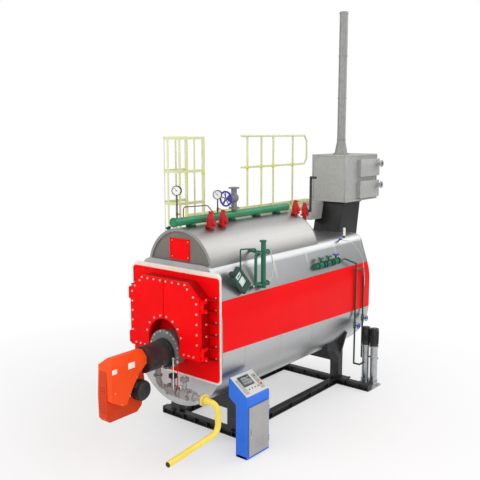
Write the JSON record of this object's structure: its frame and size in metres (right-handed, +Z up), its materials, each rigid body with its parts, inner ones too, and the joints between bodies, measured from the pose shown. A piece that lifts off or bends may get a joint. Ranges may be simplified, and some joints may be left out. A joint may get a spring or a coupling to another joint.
{
  "type": "industrial steam boiler",
  "caption": "Horizontal steam boiler with oval casing, upper drum, gas burner, hinged front doors, flue economizer, platform and control desk on a steel base.",
  "frame": {"origin": "on the floor under the middle of the front cross-beam", "axes": "+X to the side with the level gauge and control desk, +Y from the burner to the rear, +Z up"},
  "size_m": [2.8531, 7.3316, 7.25],
  "materials": {
    "base": "satin black paint",
    "casing": "brushed stainless cladding",
    "plate_grey": "satin grey paint",
    "red": "gloss red paint",
    "cream": "satin cream paint",
    "hot_steel": "bare heated steel",
    "pump_grey": "satin grey paint",
    "black": "semi-gloss black paint",
    "orange": "gloss orange paint",
    "cast_grey": "grey cast body",
    "gas_yellow": "satin yellow paint",
    "pipe_green": "satin green paint",
    "wheel_blue": "gloss blue paint",
    "dial_white": "satin off-white paint",
    "duct_black": "matt black heat-proof paint",
    "rail_yellow": "pale yellow-green paint",
    "desk_blue": "satin blue paint"
  },
  "bodies": {
    "boiler": {"front_beam": "base", "rear_beam": "base", "left_beam": "base", "right_beam": "base", "front_saddle": "base", "rear_saddle": "base", "main_shell": "casing", "front_end_plate": "plate_grey", "rear_end_cover": "casing", "drum_shell": "casing", "drum_front_plate": "plate_grey", "drum_rear_head": "casing", "drum_square_plate": "red", "left_band": "red", "right_band": "red", "casing_panel": "cream", "smokebox_flange": "red", "tube_plate": "hot_steel", "smokebox_body": "red", "left_hinges": "red", "right_hinges": "red", "burner_throat": "pump_grey", "burner_head": "black", "burner_housing": "orange", "burner_fan": "orange", "burner_motor": "black", "gas_train": "cast_grey", "gas_inlet_pipe": "gas_yellow", "steam_manifold": "pipe_green", "safety_valves": "red", "safety_vent_pipe": "black", "main_steam_valve": "cast_grey", "pressure_gauges": "dial_white", "level_gauge": "pipe_green", "level_transmitter": "pipe_green", "feed_valves": "pipe_green", "feed_down_pipes": "pipe_green", "feed_pumps": "pump_grey", "pump_motors": "black", "flue_duct": "duct_black", "duct_front_box": "plate_grey", "economizer_casing": "plate_grey", "economizer_headers": "plate_grey", "stack": "plate_grey", "platform_deck": "rail_yellow", "platform_brackets": "rail_yellow", "platform_railing": "rail_yellow", "ladder": "rail_yellow", "ladder_cage": "rail_yellow", "desk_cabinet": "desk_blue", "desk_console": "dial_white"},
    "right_door": {"right_door": "red"},
    "left_door": {"left_door": "red"},
    "desk_door": {"desk_door": "plate_grey"},
    "steam_handwheel": {"steam_handwheel": "wheel_blue"}
  },
  "joints": [
    {"name": "right_door_hinge", "type": "hinge", "parent": "boiler", "child": "right_door", "pos_m": [0.778, -0.9125, 1.63], "axis": [0, 0, 1], "range_deg": [0, 110]},
    {"name": "left_door_hinge", "type": "hinge", "parent": "boiler", "child": "left_door", "pos_m": [-0.778, -0.9125, 1.63], "axis": [0, 0, -1], "range_deg": [0, 110]},
    {"name": "desk_door_hinge", "type": "hinge", "parent": "boiler", "child": "desk_door", "pos_m": [1.338, -0.014, 0.43], "axis": [0, 0, 1], "range_deg": [0, 110]},
    {"name": "steam_handwheel_turn", "type": "hinge", "parent": "boiler", "child": "steam_handwheel", "pos_m": [0, 0.558, 3.792], "axis": [0, -1, 0], "continuous": true}
  ]
}
